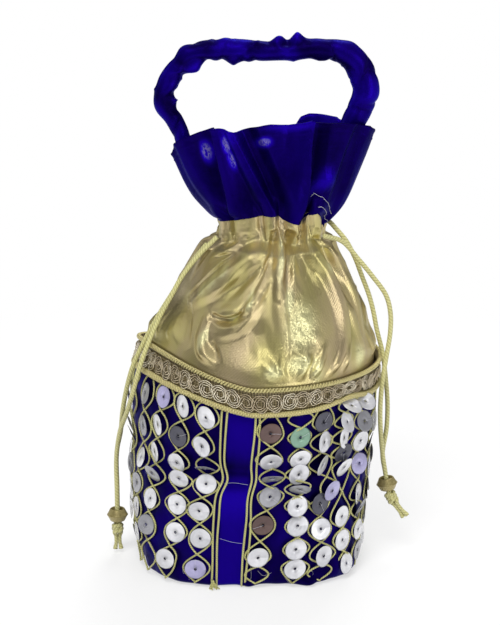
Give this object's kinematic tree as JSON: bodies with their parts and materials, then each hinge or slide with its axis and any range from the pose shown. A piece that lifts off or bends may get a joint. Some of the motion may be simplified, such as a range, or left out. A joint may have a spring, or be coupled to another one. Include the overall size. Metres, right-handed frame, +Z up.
{
  "type": "potli bag",
  "caption": "Small drawstring pouch with a sequinned satin body, gathered gold upper, fluted collar, padded loop handle and beaded drawcords.",
  "frame": {"origin": "on the floor under the middle of the bag's body, at z = 0", "axes": "+Z up, front with the plain strip towards -Y, +X to the right as seen from the front"},
  "size_m": [0.1426, 0.1186, 0.2448],
  "materials": {
    "satin_blue": "royal blue satin with a soft sheen",
    "gold_lame": "pale gold lamé weave with a metallic sheen",
    "lace_gold": "wire and thread lace in dull gold",
    "sequin_film": "silvered plastic film, flat, glossy",
    "zari_cord": "twisted metallic thread, pale gold",
    "drawcord_yellow": "braided satin cord, pale yellow gold",
    "bead_olive": "painted wooden bead, olive gold, semi-gloss",
    "base_board": "stiff board covered with blue cloth",
    "padding": "rolled padding, hidden"
  },
  "bodies": {
    "bag": {"embroidered_body": "satin_blue", "base_panel": "base_board", "gold_upper": "gold_lame", "collar_ruffle": "satin_blue", "lace_trim": "lace_gold", "handle_sleeve": "satin_blue", "handle_core": "padding", "zari_left_outer": "zari_cord", "zari_left_inner": "zari_cord", "zari_right_inner": "zari_cord", "zari_right_outer": "zari_cord", "sequin_string_01": "sequin_film", "sequin_string_02": "sequin_film", "sequin_string_03": "sequin_film", "sequin_string_04": "sequin_film", "sequin_string_05": "sequin_film", "sequin_string_06": "sequin_film", "sequin_string_07": "sequin_film", "sequin_string_08": "sequin_film", "sequin_string_09": "sequin_film", "sequin_string_10": "sequin_film", "sequin_string_11": "sequin_film", "sequin_string_12": "sequin_film", "sequin_string_13": "sequin_film", "sequin_string_14": "sequin_film", "sequin_string_15": "sequin_film", "sequin_string_16": "sequin_film", "sequin_string_17": "sequin_film", "sequin_string_18": "sequin_film", "sequin_string_19": "sequin_film", "sequin_string_20": "sequin_film", "sequin_string_21": "sequin_film", "sequin_string_22": "sequin_film", "sequin_string_23": "sequin_film", "sequin_string_24": "sequin_film", "sequin_string_25": "sequin_film", "drawcord_left_front": "drawcord_yellow", "drawcord_left_back": "drawcord_yellow", "drawcord_right_front": "drawcord_yellow", "drawcord_right_back": "drawcord_yellow", "knot_left": "drawcord_yellow", "knot_right": "drawcord_yellow"},
    "left_bead": {"bead_left": "bead_olive"},
    "right_bead": {"bead_right": "bead_olive"}
  },
  "joints": [
    {"name": "left_bead_slide", "type": "slide", "parent": "bag", "child": "left_bead", "axis": [0, 0, 1], "range_m": [0, 0.02]},
    {"name": "right_bead_slide", "type": "slide", "parent": "bag", "child": "right_bead", "axis": [-0.1564, 0, 0.9877], "range_m": [0, 0.01]}
  ]
}
